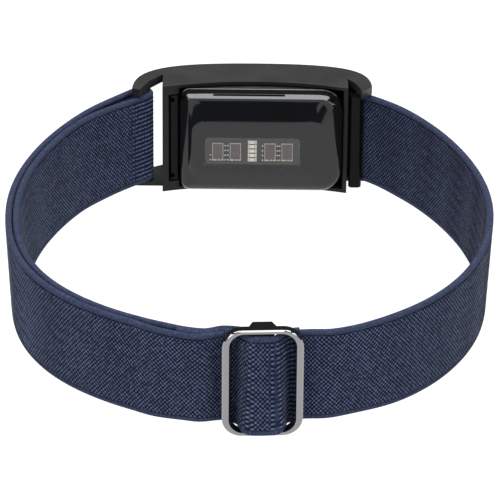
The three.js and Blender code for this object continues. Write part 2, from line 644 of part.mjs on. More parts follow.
DIODE_X.forEach((x, i) => addPart(
  `photodiode_${i + 1}`,
  plate(x, DIODE.z, DIODE.width, DIODE.height, SENSOR_FACE, DIODE.depth, 0.08),
  finish(0x6a5068, 0.3, 0)));
for (let i = 0; i < EMITTER_COUNT; i += 1) {
  addPart(
    `emitter_${i + 1}`,
    plate(EMITTER.x, emitterZ(i), EMITTER.width, EMITTER.height, SENSOR_FACE, EMITTER.depth, 0.08),
    finish(0xe6dccb, 0.4, 0));
}

// The origin is on the ground under the middle of the whole band.
const bounds = new THREE.Box3().setFromObject(group);
const middle = bounds.getCenter(new THREE.Vector3());
group.position.set(-middle.x, -middle.y, -bounds.min.z);
group.updateMatrixWorld(true);

export default group;
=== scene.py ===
# Looks for the fitness tracker band: woven webbing, satin and gloss plastics, a metal slider
# and the optical sensors behind a clear window. Lengths in the plans are millimetres; MM turns
# them into the frame's metres.
import math

import bmesh
import bpy
import numpy as np
from mathutils import Matrix, Vector


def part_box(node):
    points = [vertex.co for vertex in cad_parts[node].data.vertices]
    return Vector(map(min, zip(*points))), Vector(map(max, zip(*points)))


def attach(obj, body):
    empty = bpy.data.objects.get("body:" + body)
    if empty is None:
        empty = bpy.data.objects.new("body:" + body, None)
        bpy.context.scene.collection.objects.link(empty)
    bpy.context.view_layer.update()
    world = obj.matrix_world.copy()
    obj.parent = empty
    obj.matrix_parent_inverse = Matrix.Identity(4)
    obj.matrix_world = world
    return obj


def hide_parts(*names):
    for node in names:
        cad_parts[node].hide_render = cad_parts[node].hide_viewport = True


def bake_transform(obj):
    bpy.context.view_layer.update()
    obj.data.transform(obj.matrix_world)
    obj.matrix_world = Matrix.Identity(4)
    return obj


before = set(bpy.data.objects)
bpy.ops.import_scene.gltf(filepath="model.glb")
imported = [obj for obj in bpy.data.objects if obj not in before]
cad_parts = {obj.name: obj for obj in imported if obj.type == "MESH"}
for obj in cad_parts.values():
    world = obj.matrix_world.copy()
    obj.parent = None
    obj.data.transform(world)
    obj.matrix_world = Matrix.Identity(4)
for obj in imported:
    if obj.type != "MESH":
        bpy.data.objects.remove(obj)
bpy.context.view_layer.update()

MM = 0.001

# ------------------------------------------------------------------ places, from the frame

carrier_low, carrier_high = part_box("carrier_frame")
CARRIER_FACE = 74.15  # the carrier's outer face, in the plan's own frame
CARRIER_LEFT = -26.78  # and its left end
ORIGIN = Vector((
    carrier_low.x - CARRIER_LEFT * MM,
    carrier_high.y - CARRIER_FACE * MM,
    (carrier_low.z + carrier_high.z) / 2,
))


def place(x, y, z):
    """A point of the plan's own frame, in the shared frame's metres."""
    return Vector((x, y, z)) * MM + ORIGIN


WIDTH = 21.2  # of the webbing
THICK = 1.3  # of the webbing
PITCH = 0.86  # of the weave along the webbing
ROWS = 1.0  # of the weave across it
STEP = 0.42  # mesh spacing along and across the webbing
FACE_HALF = 9.3  # the woven face's half width; a smooth selvedge runs outside it
SELVEDGE_CENTRE = 9.85  # middle of the selvedge's round edge
RELIEF = 0.07  # height of the woven yarns
BEAD = 0.1  # height of the stitches in the groove beside the selvedge
FLARE = 0.47  # how far the webbing's edges lean, in millimetres per 10 of height

CENTRE = np.array([-0.75, 9.1])  # centre of the loop's round front
RADIUS = 51.25  # of the webbing's outer face there
SPAN = 32  # degrees each way that the front stays round
RIGHT_MOST = np.array([48.8, 12.0])
RIGHT_HANDLES = (14, 23, 23.5, 14.8)  # curve handles' lengths, from the front to the clamp
LEFT_MOST = np.array([-50.6, 11.0])
LEFT_HANDLES = (18.8, 21, 25.5, 15)  # from the front to the left bar
RIGHT_END = np.array([23.2, 65.4])  # where the webbing leaves its clamp
HELD = 1.2  # length of webbing inside the clamp
RIGHT_SLOPE = 33  # degrees, of the webbing at the clamp
LEFT_SLOPE = 43  # degrees, of the webbing at the left bar
BAR = np.array([-24.75, 64.6])  # centre of the left bar
FOLD = 2.55  # outer radius of the webbing round the left bar
LAYERS = 1.55  # depth of the inner layer's outer face below the outer layer's
SLIDER = 3.2  # degrees round the front
SLIDER_FACE = 50.05  # radius of the webbing's outer face under the slider's side bars
SEAM = 8.4  # degrees from the slider's middle to the seams under its side bars
CREST = (1.8, 5.7)  # half widths of the webbing's hump over the centre bar: top and foot
HUMP = 2.7  # its height
LIFT = 2.0  # how much further its lower edge stands out
TAIL = 13  # degrees round the front that the sewn tail takes


def away(point, degrees, length):
    a = math.radians(degrees)
    return point + length * np.array([math.cos(a), math.sin(a)])


def bezier(a, b, c, d, count):
    t = np.linspace(0, 1, count + 1)[:, None]
    return (1 - t) ** 3 * a + 3 * (1 - t) ** 2 * t * b + 3 * (1 - t) * t ** 2 * c + t ** 3 * d


def front(radius, degrees):
    """A plan point at an angle round the front, measured from -Y towards +X."""
    a = np.radians(degrees)
    return np.stack([CENTRE[0] + radius * np.sin(a), CENTRE[1] - radius * np.cos(a)], -1)


def smooth(x, low, high):
    t = np.clip((np.asarray(x, float) - low) / (high - low), 0, 1)
    return t * t * (3 - 2 * t)


def arc_length(points):
    return np.concatenate([[0], np.cumsum(np.linalg.norm(np.diff(points, axis=0), axis=1))])


def resample(points, step=STEP):
    """Evenly spaced points along a plan path."""
    s = arc_length(points)
    count = max(2, int(round(s[-1] / step)))
    even = np.linspace(0, s[-1], count + 1)
    return np.stack([np.interp(even, s, points[:, i]) for i in (0, 1)], -1)


def relax(points, rounds):
    """A path with its kinks evened out; its ends stay."""
    for _ in range(rounds):
        inner = (points[:-2] + 2 * points[1:-1] + points[2:]) / 4
        points = np.concatenate([points[:1], inner, points[-1:]])
    return points


def left_of(points):
    """Unit vectors to the left of the direction of travel."""
    d = np.gradient(points, axis=0)
    d /= np.linalg.norm(d, axis=1)[:, None]
    return np.stack([-d[:, 1], d[:, 0]], -1)


right_start, left_start = front(RADIUS, np.array([SPAN, -SPAN]))
a, b, c, d = RIGHT_HANDLES
RIGHT_SIDE = np.concatenate([
    bezier(right_start, away(right_start, SPAN, a), away(RIGHT_MOST, -90, b), RIGHT_MOST, 120),
    bezier(RIGHT_MOST, away(RIGHT_MOST, 90, c), away(RIGHT_END, -RIGHT_SLOPE, d),
           RIGHT_END, 160)[1:],
])
LEFT_END = away(BAR, 90 + LEFT_SLOPE, FOLD)
a, b, c, d = LEFT_HANDLES
LEFT_SIDE = np.concatenate([
    bezier(left_start, away(left_start, 180 - SPAN, a), away(LEFT_MOST, -90, b),
           LEFT_MOST, 120),
    bezier(LEFT_MOST, away(LEFT_MOST, 90, c), away(LEFT_END, 180 + LEFT_SLOPE, d),
           LEFT_END, 160)[1:],
])

# ------------------------------------------------------------------ webbing

def profile():
    """The webbing's section, once round: t across the width, n through the thickness, the woven
    face (1 outer, -1 inner, 0 selvedge) and how deep in the groove beside the selvedge."""
    t, n, face, groove = [], [], [], []

    def add(*values):
        for column, value in zip((t, n, face, groove), values):
            column.append(value)

    count = int(round(2 * FACE_HALF / STEP))
    for side in (1, -1):
        for i in range(count + 1):
            add(side * (-FACE_HALF + 2 * FACE_HALF * i / count), side * THICK / 2, side, 0)
        add(side * (FACE_HALF + 0.12), side * (THICK / 2 - 0.2), side, 1)
        radius_t = WIDTH / 2 - SELVEDGE_CENTRE
        for i in range(9):
            a = math.radians(140 - 280 * i / 8)
            add(side * (SELVEDGE_CENTRE + radius_t * math.cos(a) * (1 if math.cos(a) > 0 else 0.62)),
                side * (THICK / 2 + 0.06) * math.sin(a), 0, 0)
        add(side * (FACE_HALF + 0.12), -side * (THICK / 2 - 0.2), -side, 1)
    return [np.array(column, float) for column in (t, n, face, groove)]


def webbing(name, middle, normal, flare, rib, thin=None, lift=None, narrow=None):
    """A length of webbing along a plan path. normal points out of its outer face; flare leans the
    upper edge outwards; rib turns the weave to cross ribs; thin scales its thickness and narrow
    its width; lift moves points outwards by how low they are."""
    t, n, face, groove = profile()
    rings, around = len(middle), len(t)
    s = arc_length(middle)
    thin = np.ones(rings) if thin is None else thin
    narrow = np.ones(rings) if narrow is None else narrow
    wave = np.cos(2 * np.pi * s / PITCH)[:, None] * np.cos(2 * np.pi * t / ROWS)[None]
    ribs = np.repeat(np.cos(2 * np.pi * t / ROWS)[None], rings, 0)
    woven = (np.abs(face) > 0.5) & (groove < 0.5)
    relief = np.where(woven, RELIEF * ((1 - rib[:, None]) * wave + rib[:, None] * ribs), 0)
    bead = np.where(groove > 0.5, BEAD * np.cos(4 * np.pi * s / PITCH)[:, None], 0)
    out = n[None] * thin[:, None] + np.sign(n)[None] * (relief + bead)
    out = out + flare[:, None] * t[None] / 10
    if lift is not None:
        out = out + lift[:, None] * (0.5 - t[None] / WIDTH)
    plan = middle[:, None] + normal[:, None] * out[..., None]
    co = np.empty((rings, around, 3))
    co[..., :2] = plan
    co[..., 2] = t[None] * narrow[:, None]
    co = co.reshape(-1, 3) * MM + np.array(ORIGIN)

    i, j = np.meshgrid(np.arange(rings - 1), np.arange(around), indexing="ij")
    k = (j + 1) % around
    quads = np.stack([i * around + j, i * around + k, (i + 1) * around + k,
                      (i + 1) * around + j], -1).reshape(-1, 4)
    caps = [list(range(around))[::-1], [(rings - 1) * around + a for a in range(around)]]
    mesh = bpy.data.meshes.new(name)
    mesh.from_pydata(co.tolist(), [], quads.tolist() + caps)
    mesh.polygons.foreach_set("use_smooth", np.ones(len(mesh.polygons), bool))
    weave = np.empty((rings, around, 3))
    weave[..., 0] = s[:, None]
    weave[..., 1] = t[None]
    weave[..., 2] = face[None]
    mesh.attributes.new("weave", "FLOAT_VECTOR", "POINT").data.foreach_set(
        "vector", weave.reshape(-1))
    mesh.attributes.new("rib", "FLOAT", "POINT").data.foreach_set(
        "value", np.repeat(rib, around))
    mesh.attributes.new("groove", "FLOAT", "POINT").data.foreach_set(
        "value", np.tile(groove, rings))
    mesh.materials.append(WEBBING)
    outward_first(mesh)
    piece = bpy.data.objects.new(name, mesh)
    bpy.context.scene.collection.objects.link(piece)
    return piece


def outward_first(mesh):
    """Turns all faces over if the closed mesh is inside out."""
    work = bmesh.new()
    work.from_mesh(mesh)
    if work.calc_volume(signed=True) < 0:
        bmesh.ops.reverse_faces(work, faces=work.faces)
    work.to_mesh(mesh)
    work.free()


def mapped(node_tree, kind, **sockets):
    node = node_tree.nodes.new(kind)
    for key, value in sockets.items():
        target = node.inputs[int(key[1:])] if key[0] == "_" else node.inputs[key]
        if isinstance(value, bpy.types.NodeSocket):
            node_tree.links.new(value, target)
        else:
            target.default_value = value
    return node


class Shader:
    """A material's node tree with short helpers."""

    def __init__(self, name, **principled):
        self.material = bpy.data.materials.new(name)
        self.material.use_nodes = True
        self.tree = self.material.node_tree
        self.shader = self.tree.nodes["Principled BSDF"]
        for key, value in principled.items():
            self.set(key.replace("_", " "), value)

    def set(self, key, value):
        socket = self.shader.inputs[key]
        if isinstance(value, bpy.types.NodeSocket):
            self.tree.links.new(value, socket)
        elif isinstance(value, tuple) and len(value) == 3:
            socket.default_value = (*value, 1)
        else:
            socket.default_value = value

    def maths(self, operation, *values):
        node = mapped(self.tree, "ShaderNodeMath", **{f"_{i}": v for i, v in enumerate(values)})
        node.operation = operation
        return node.outputs[0]

    def attribute(self, name):
        node = self.tree.nodes.new("ShaderNodeAttribute")
        node.attribute_name = name
        return node

    def noise(self, scale, detail=2.0, vector=None, distortion=0.0):
        sockets = {"Scale": scale, "Detail": detail, "Distortion": distortion}
        if vector is not None:
            sockets["Vector"] = vector
        else:
            coordinates = self.tree.nodes.new("ShaderNodeTexCoord")
            sockets["Vector"] = coordinates.outputs["Object"]
        return mapped(self.tree, "ShaderNodeTexNoise", **sockets).outputs[0]

    def span(self, value, low, high, out_low, out_high):
        node = mapped(self.tree, "ShaderNodeMapRange", _0=value, _1=low, _2=high, _3=out_low,
                      _4=out_high)
        return node.outputs[0]

    def mix(self, share, first, second):
        node = self.tree.nodes.new("ShaderNodeMix")
        node.data_type = "RGBA"
        for index, value in ((0, share), (6, first), (7, second)):
            if isinstance(value, bpy.types.NodeSocket):
                self.tree.links.new(value, node.inputs[index])
            else:
                node.inputs[index].default_value = (*value, 1) if isinstance(value, tuple) else value
        return node.outputs[2]

    def bump(self, height, strength, distance):
        node = mapped(self.tree, "ShaderNodeBump", Height=height, Strength=strength,
                      Distance=distance)
        self.tree.links.new(node.outputs[0], self.shader.inputs["Normal"])


# Painted shade: used in the gaps between the yarns, in the groove and on the inner face.
GAP_SHADE_COLOUR = (0.003, 0.005, 0.016)  # between the yarns
# the yarns' navy at its brightest: their tops carry a painted highlight
YARN_AND_HIGHLIGHT_COLOUR = (0.108, 0.138, 0.245)
EDGE_DARK = (0.008, 0.011, 0.026)  # the selvedge's two shades
EDGE_LIGHT = (0.040, 0.052, 0.102)


def webbing_material():
    """Navy elastic webbing: a checkered weave with painted highlight and shade, plainer selvedges
    and a groove between, dark with painted shade.
    """
    m = Shader("webbing", Roughness=0.85, Sheen_Weight=0.03, Sheen_Roughness=0.5,
               Specular_IOR_Level=0.08)
    weave = m.attribute("weave")
    split = mapped(m.tree, "ShaderNodeSeparateXYZ", Vector=weave.outputs["Vector"]).outputs
    s, t, face = split[0], split[1], split[2]
    rib = m.attribute("rib").outputs["Fac"]
    groove = m.attribute("groove").outputs["Fac"]
    turn = 2 * math.pi / PITCH
    wobble = m.noise(0.35, 2.0, weave.outputs["Vector"])
    cos_s = m.maths("COSINE", m.maths("MULTIPLY_ADD", wobble, 1.1, m.maths("MULTIPLY", s, turn)))
    cos_t = m.maths("COSINE", m.maths("MULTIPLY", t, 2 * math.pi / ROWS))
    check = m.maths("MULTIPLY", cos_s, cos_t)
    ribbed = m.maths("ADD", m.maths("MULTIPLY", cos_t, 0.8), m.maths("MULTIPLY", check, 0.2))
    height = m.maths("ADD", m.maths("MULTIPLY", check, m.maths("SUBTRACT", 1.0, rib)),
                     m.maths("MULTIPLY", ribbed, rib))
    # Every yarn crossing has its own brightness.
    cell = mapped(m.tree, "ShaderNodeCombineXYZ",
                  _0=m.maths("FLOOR", m.maths("DIVIDE", s, PITCH / 2)),
                  _1=m.maths("FLOOR", m.maths("DIVIDE", t, ROWS / 2))).outputs[0]
    white = mapped(m.tree, "ShaderNodeTexWhiteNoise", _0=cell).outputs[0]
    fibre = m.noise(9.0, 3.0, weave.outputs["Vector"])
    # The colour follows the weave's height: yarn tops painted light, gaps painted shade.
    lit = m.maths("ADD", m.maths("MULTIPLY_ADD", height, 0.5, 0.5),
                  m.maths("MULTIPLY_ADD", fibre, 0.3, m.maths("MULTIPLY_ADD", white, 0.3, -0.3)))
    share = m.maths("POWER", m.span(lit, 0.22, 1.05, 0.0, 1.0), 2.0)
    face_colour = m.mix(share, GAP_SHADE_COLOUR, YARN_AND_HIGHLIGHT_COLOUR)
    # The inner face is darkened towards the gap colour: painted shade.
    face_colour = m.mix(m.span(face, -1.0, -0.6, 0.32, 0.0), face_colour, GAP_SHADE_COLOUR)
    # The selvedge is knitted close, with faint threads across it.
    thread = m.maths("COSINE", m.maths("MULTIPLY", s, turn * 2.4))
    fuzz = m.span(m.noise(2.6, 4.0, weave.outputs["Vector"], 1.5), 0.35, 0.65, 0.0, 0.75)
    edge_share = m.maths("ADD", m.maths("MULTIPLY_ADD", thread, 0.28, 0.2), fuzz)
    edge_colour = m.mix(edge_share, EDGE_DARK, EDGE_LIGHT)
    is_face = m.span(m.maths("ABSOLUTE", face), 0.35, 0.65, 0.0, 1.0)
    colour = m.mix(is_face, edge_colour, face_colour)
    # The groove beside the selvedge is darkened towards the gap colour: painted shade.
    m.set("Base Color", m.mix(m.maths("MULTIPLY", groove, 0.75), colour, GAP_SHADE_COLOUR))
    relief = m.maths("ADD", m.maths("MULTIPLY", height, is_face),
                     m.maths("ADD", m.maths("MULTIPLY", fibre, 0.5), fuzz))
    m.bump(relief, 0.65, 0.00014)
    return m.material


WEBBING = webbing_material()


def right_webbing():
    """From the clamp round the right side to the seam under the slider's right side bar."""
    hold = away(RIGHT_END, 180 - RIGHT_SLOPE, HELD)
    angles = np.linspace(SPAN, SLIDER + SEAM, 60)
    radius = RADIUS + (SLIDER_FACE - RADIUS) * smooth(angles, 19, 12.5)
    face = np.concatenate([[hold], RIGHT_SIDE[::-1], front(radius, angles)[1:]])
    face = resample(relax(resample(face, 0.5), 12))
    normal = left_of(face) * -1
    if normal[0, 0] < 0:
        normal = -normal
    middle = face - normal * THICK / 2
    s = arc_length(face)
    flare = FLARE * smooth(s, 3, 14) * smooth(s, s[-1] - 3, s[-1] - 14)
    narrow = 1 - 0.05 * smooth(s, s[-1] - 24, s[-1] - 5)
    piece = webbing("webbing_right", middle, normal, flare, np.zeros(len(s)), narrow=narrow)
    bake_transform(piece)
    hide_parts("strap_right_run")
    return piece


def pass_webbing():
    """Over the slider's centre bar: it stands out further at its lower edge."""
    angles = np.linspace(SLIDER + SEAM, SLIDER - SEAM, 60)
    x = SLIDER_FACE * np.sin(np.radians(angles - SLIDER))
    rise = 1 - smooth(np.abs(x), *CREST)
    face = front(SLIDER_FACE + HUMP * rise, angles)
    face = resample(face)
    normal = left_of(face)
    if normal[0, 1] > 0:
        normal = -normal
    offset = face - CENTRE
    turned = np.degrees(np.arctan2(offset[:, 0], -offset[:, 1])) - SLIDER
    x = SLIDER_FACE * np.sin(np.radians(turned))
    rise = 1 - smooth(np.abs(x), *CREST)
    thin = 1 - 0.15 * rise
    middle = face - normal * (THICK / 2 * thin)[:, None]
    rib = 0.75 * smooth(x, -0.5, 3.0)
    piece = webbing("webbing_pass", middle, normal, np.zeros(len(x)), rib, thin=thin,
                    lift=LIFT * rise)
    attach(piece, "slider")
    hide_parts("strap_slider_pass")
    return piece


def left_webbing():
    """From the seam under the left side bar, round the left side, over the carrier's bar, back
    inside, round the slider's centre bar and into the sewn tail between the two layers."""
    half = THICK / 2
    # Outer layer: over the tail first, then at the loop's own radius.
    angles = np.linspace(SLIDER - SEAM, -SPAN, 90)
    rise = smooth(angles, -5.2, -12.0)
    over = RADIUS + 0.6 * smooth(angles, -28, -20)
    outer_front = front(SLIDER_FACE + (over - SLIDER_FACE) * rise - half, angles)
    outer_side = LEFT_SIDE - left_of(LEFT_SIDE) * half
    outer = np.concatenate([outer_front, outer_side[1:-1]])
    # Half a turn round the bar, on the tracker's side.
    turn = np.array([away(BAR, 90 + LEFT_SLOPE - a, FOLD - half) for a in np.linspace(0, 180, 30)])
    # Back inside the outer layer.
    share = np.linspace(0, 1, len(LEFT_SIDE))
    depth = LAYERS + half + (2 * FOLD - THICK - LAYERS) * smooth(share, 0.75, 1)
    inner_side = (LEFT_SIDE - left_of(LEFT_SIDE) * depth[:, None])[::-1]
    angles = np.linspace(-SPAN, SLIDER, 90)
    tucked = RADIUS - LAYERS - half - 0.2 * smooth(angles, -24, -18)
    inner_radius = tucked + (47.05 - tucked) * smooth(angles, -10.5, -5.5) \
        + 0.55 * smooth(angles, -4, 0.5)
    inner_front = front(inner_radius, angles)
    # Round the centre bar, with the webbing drawn thin, and back over it into the tail.
    loop = np.array([(1.0, 47.62), (1.9, 47.95), (2.1, 48.95), (1.6, 49.9), (0.9, 50.15),
                     (-0.9, 50.15), (-1.8, 49.9), (-3.0, 49.0), (-4.4, 48.4), (-6.5, 48.15)])
    loop = np.array([front(r, SLIDER + math.degrees(x / r)) for x, r in loop])
    angles = np.linspace(SLIDER - 8.2, SLIDER - 6.5 - TAIL, 30)
    tail = front(48.15 + 1.3 * smooth(angles, -5.5, -11), angles)
    middle = np.concatenate([outer, turn, inner_side[1:], inner_front[1:-1], loop, tail])
    middle = resample(relax(resample(middle, 0.3), 5))
    normal = left_of(middle)
    s = arc_length(middle)
    offset = middle - CENTRE
    degrees = np.degrees(np.arctan2(offset[:, 0], -offset[:, 1]))
    near_slider = smooth(degrees, -10, -6) * (offset[:, 1] < 0)
    thin = 1 - 0.28 * near_slider
    to_bar = np.linalg.norm(middle - BAR, axis=1)
    flare = (FLARE * smooth(to_bar, 4, 16) * smooth(-degrees, 6, 16)
             * (offset[:, 0] < 0) * np.sign(np.sum(normal * offset, axis=1)))
    rib = 0.9 * smooth(-to_bar, -7.0, -3.2)
    narrow = 1 - 0.055 * smooth(degrees, -27, -9) * (offset[:, 1] < 0)
    piece = webbing("webbing_left", middle, normal, flare, rib, thin=thin, narrow=narrow)
    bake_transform(piece)
    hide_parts("strap_left_outer", "strap_left_fold", "strap_left_inner", "strap_sewn_end")
    return piece


right_webbing()
pass_webbing()
left_webbing()

# ------------------------------------------------------------------ hard parts

def satin_plastic(name, colour, rough, grain=0.06, shine=0.5, glow=0.0):
    """A finely grained surface. A little glow stands for light that the sensor window keeps out."""
    m = Shader(name, Base_Color=colour, Specular_IOR_Level=shine, Emission_Color=colour,
               Emission_Strength=glow)
    fine = m.noise(5200.0, 2.0)
    broad = m.noise(160.0, 3.0)
    m.set("Roughness", m.span(broad, 0.3, 0.7, rough - 0.05, rough + 0.05))
    m.bump(fine, grain, 0.00003)
    return m.material


def gloss_plastic(name, colour, rough=0.08, shine=0.5):
    m = Shader(name, Base_Color=colour, Specular_IOR_Level=shine)
    m.set("Roughness", m.span(m.noise(140.0, 3.0), 0.35, 0.7, rough, rough + 0.03))
    m.bump(m.noise(700.0, 2.0), 0.02, 0.00002)
    return m.material


def metal(name, colour, rough, brushed=0.0):
    m = Shader(name, Base_Color=colour, Metallic=1.0)
    m.set("Roughness", m.span(m.noise(220.0, 3.0), 0.3, 0.7, rough, rough * 1.25))
    if brushed:
        m.bump(m.noise(4000.0, 2.0), brushed, 0.00002)
    return m.material


def clear_window(name):
    """Smoked clear plastic: straight-through light with a mirror-like surface."""
    material = bpy.data.materials.new(name)
    material.use_nodes = True
    tree = material.node_tree
    tree.nodes.remove(tree.nodes["Principled BSDF"])
    out = tree.nodes["Material Output"]
    fresnel = mapped(tree, "ShaderNodeFresnel", IOR=1.5)
    through = mapped(tree, "ShaderNodeBsdfTransparent", Color=(0.86, 0.87, 0.87, 1))
    place_in = tree.nodes.new("ShaderNodeTexCoord")
    grain = mapped(tree, "ShaderNodeTexNoise", Scale=140.0, Vector=place_in.outputs["Object"])
    rough = mapped(tree, "ShaderNodeMapRange", _0=grain.outputs[0], _1=0.35, _2=0.7, _3=0.06,
                   _4=0.09)
    shine = mapped(tree, "ShaderNodeBsdfAnisotropic", Color=(1, 1, 1, 1),
                   Roughness=rough.outputs[0])
    mix = mapped(tree, "ShaderNodeMixShader", Fac=fresnel.outputs[0])
    tree.links.new(through.outputs[0], mix.inputs[1])
    tree.links.new(shine.outputs[0], mix.inputs[2])
    tree.links.new(mix.outputs[0], out.inputs["Surface"])
    return material


# the inner entry is the carrier's own plastic made darker for its wrist-side faces, as painted
# shade, and the edge entry a brighter, metallic stand-in for the back cover's plastic on its top
# edge, as a painted highlight.
MATERIALS = {
    "carrier": satin_plastic("carrier_satin", (0.017, 0.017, 0.0175), 0.4),
    "inner": satin_plastic("carrier_painted_shade", (0.009, 0.009, 0.0095), 0.45, shine=0.2),
    "latch": satin_plastic("latch_satin", (0.005, 0.005, 0.0053), 0.36, shine=0.1),
    "clamp": gloss_plastic("clamp_gloss", (0.004, 0.004, 0.0045), 0.16, shine=0.08),
    "back": gloss_plastic("back_gloss", (0.005, 0.0053, 0.0058), 0.07, shine=0.46),
    "edge": metal("back_edge_painted_highlight", (0.085, 0.085, 0.088), 0.12),
    "window": clear_window("window_clear"),
    "case": metal("case_anodised", (0.20, 0.20, 0.205), 0.3, 0.05),
    "gasket": satin_plastic("gasket_rubber", (0.01, 0.01, 0.01), 0.8),
    "glass": gloss_plastic("display_glass", (0.003, 0.003, 0.0035), 0.03),
    "panel": satin_plastic("display_panel", (0.01, 0.01, 0.012), 0.3, 0.0),
    "foil": metal("battery_foil", (0.55, 0.56, 0.58), 0.35, 0.2),
    "steel": metal("steel", (0.62, 0.61, 0.6), 0.22),
    "board": satin_plastic("circuit_board", (0.01, 0.055, 0.03), 0.45),
    "optical": satin_plastic("optical_black", (0.007, 0.008, 0.008), 0.6, shine=0.08),
    "polish": metal("slider_polish", (0.30, 0.30, 0.31), 0.07),
    "satin": metal("slider_satin", (0.265, 0.263, 0.27), 0.14, 0.03),
    "diode": satin_plastic("photodiode", (0.13, 0.07, 0.12), 0.25, 0.0),
    # gold, emitter and solder glow a little: painted light on the parts behind the sensor window
    "gold": satin_plastic("pad_gold", (0.86, 0.70, 0.44), 0.3, 0.0, glow=0.35),
    "emitter": satin_plastic("emitter_cream", (0.92, 0.90, 0.84), 0.35, 0.0, glow=0.5),
    "solder": satin_plastic("solder", (0.85, 0.85, 0.82), 0.3, 0.0, glow=0.6),
}


def soften(node, body, bevel, materials, segments=2, choose=None, spare=None, grow=0.0):
    """A CAD node remade with flat faces joined and its sharp edges rounded, but not the edges
    inside the box of the node to spare. grow widens it all round to close a clearance."""
    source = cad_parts[node]
    work = bmesh.new()
    work.from_mesh(source.data)
    bmesh.ops.remove_doubles(work, verts=work.verts, dist=0.000002)
    bmesh.ops.dissolve_limit(work, angle_limit=math.radians(1), verts=work.verts, edges=work.edges)
    sharp = [e for e in work.edges
             if len(e.link_faces) == 2 and e.calc_face_angle(0) > math.radians(28)]
    if spare:
        low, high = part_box(spare)
        sharp = [e for e in sharp if not all(
            low.x - MM < v.co.x < high.x + MM and low.z - MM < v.co.z < high.z + MM
            for v in e.verts)]
    if bevel:
        bmesh.ops.bevel(work, geom=sharp, offset=bevel * MM, segments=segments, profile=0.5,
                        affect="EDGES", clamp_overlap=True)
    low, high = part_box(node)
    middle = (low + high) / 2
    for v in work.verts:
        v.co.x += math.copysign(grow * MM, v.co.x - middle.x)
        v.co.z += math.copysign(grow * MM, v.co.z - middle.z)
    mesh = bpy.data.meshes.new("soft_" + node)
    work.to_mesh(mesh)
    work.free()
    mesh.polygons.foreach_set("use_smooth", np.ones(len(mesh.polygons), bool))
    mesh.set_sharp_from_angle(angle=math.radians(34))
    for name in materials:
        mesh.materials.append(MATERIALS[name])
    if choose:
        for polygon in mesh.polygons:
            polygon.material_index = choose(polygon)
    piece = bpy.data.objects.new("soft_" + node, mesh)
    bpy.context.scene.collection.objects.link(piece)
    weigh = piece.modifiers.new("even", "WEIGHTED_NORMAL")
    weigh.keep_sharp = True
    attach(piece, body)
    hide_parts(node)
    return piece


facing = Vector((math.sin(math.radians(SLIDER)), -math.cos(math.radians(SLIDER)), 0))
soften("slider_buckle", "slider", 0.22, ["polish", "satin"], 3,
       lambda polygon: int(polygon.normal.dot(facing) > 0.9))
# Faces looking towards -Y take the darker copy of the carrier plastic: painted shade.
soften("carrier_frame", "band", 0.28, ["carrier", "inner"], 3,
       lambda polygon: int(polygon.normal.y < -0.75))
soften("strap_bar", "band", 0.1, ["steel"])
soften("strap_end_clamp", "band", 0.3, ["clamp"], 3)
soften("latch_slider", "latch", 0.15, ["latch"])
soften("latch_spring", "band", 0.03, ["steel"], 1)
window_low, window_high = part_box("sensor_window")
module_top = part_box("back_cover")[1].z


def back_part(polygon):
    """The back cover's surface: 0 gloss, 1 the walls round the sensor window, 2 its top edge, made
    bright as a painted highlight.
    """
    centre, normal = polygon.center, polygon.normal
    if centre.z > module_top - 1.4 * MM and normal.y < -0.1 and normal.z > 0.1:
        return 2
    return int(abs(normal.y) < 0.5 and window_low.x - MM < centre.x < window_high.x + MM
               and window_low.z - MM < centre.z < window_high.z + MM)


soften("back_cover", "tracker", 0.16, ["back", "optical", "edge"], 3, back_part,
       spare="sensor_window")
soften("sensor_window", "tracker", 0, ["window"], grow=0.14)
soften("case_frame", "tracker", 0.12, ["case"])
soften("display_gasket", "tracker", 0.03, ["gasket"], 1)
soften("display_glass", "tracker", 0.2, ["glass"], 3)
soften("display_panel", "tracker", 0.05, ["panel"])
soften("battery", "tracker", 0.4, ["foil"], 3)
soften("vibration_motor", "tracker", 0.2, ["steel"], 3)
soften("main_board", "tracker", 0.05, ["board"], 1)
soften("sensor_board", "tracker", 0.05, ["board"], 1)
soften("sensor_spacer", "tracker", 0.05, ["board"], 1)
soften("optical_barrier", "tracker", 0.04, ["optical"], 1)

# ------------------------------------------------------------------ sensors

def blocks(name, boxes, materials, body):
    """One piece made of small boxes, each (low corner, high corner, material number)."""
    work = bmesh.new()
    for low, high, index in boxes:
        made = bmesh.ops.create_cube(work, size=1)["verts"]
        size, middle = Vector(high) - Vector(low), (Vector(high) + Vector(low)) / 2
        bmesh.ops.transform(work, matrix=Matrix.Translation(middle)
                            @ Matrix.Diagonal((*size, 1)), verts=made)
        faces = {f for v in made for f in v.link_faces}
        for f in faces:
            f.material_index = index
        bmesh.ops.bevel(work, geom=list({e for f in faces for e in f.edges}),
                        offset=min(size) * 0.18, segments=1, affect="EDGES")
    mesh = bpy.data.meshes.new(name)
    work.to_mesh(mesh)
    work.free()
    for material in materials:
        mesh.materials.append(MATERIALS[material])
    piece = bpy.data.objects.new(name, mesh)
    bpy.context.scene.collection.objects.link(piece)
    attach(piece, body)
    return piece


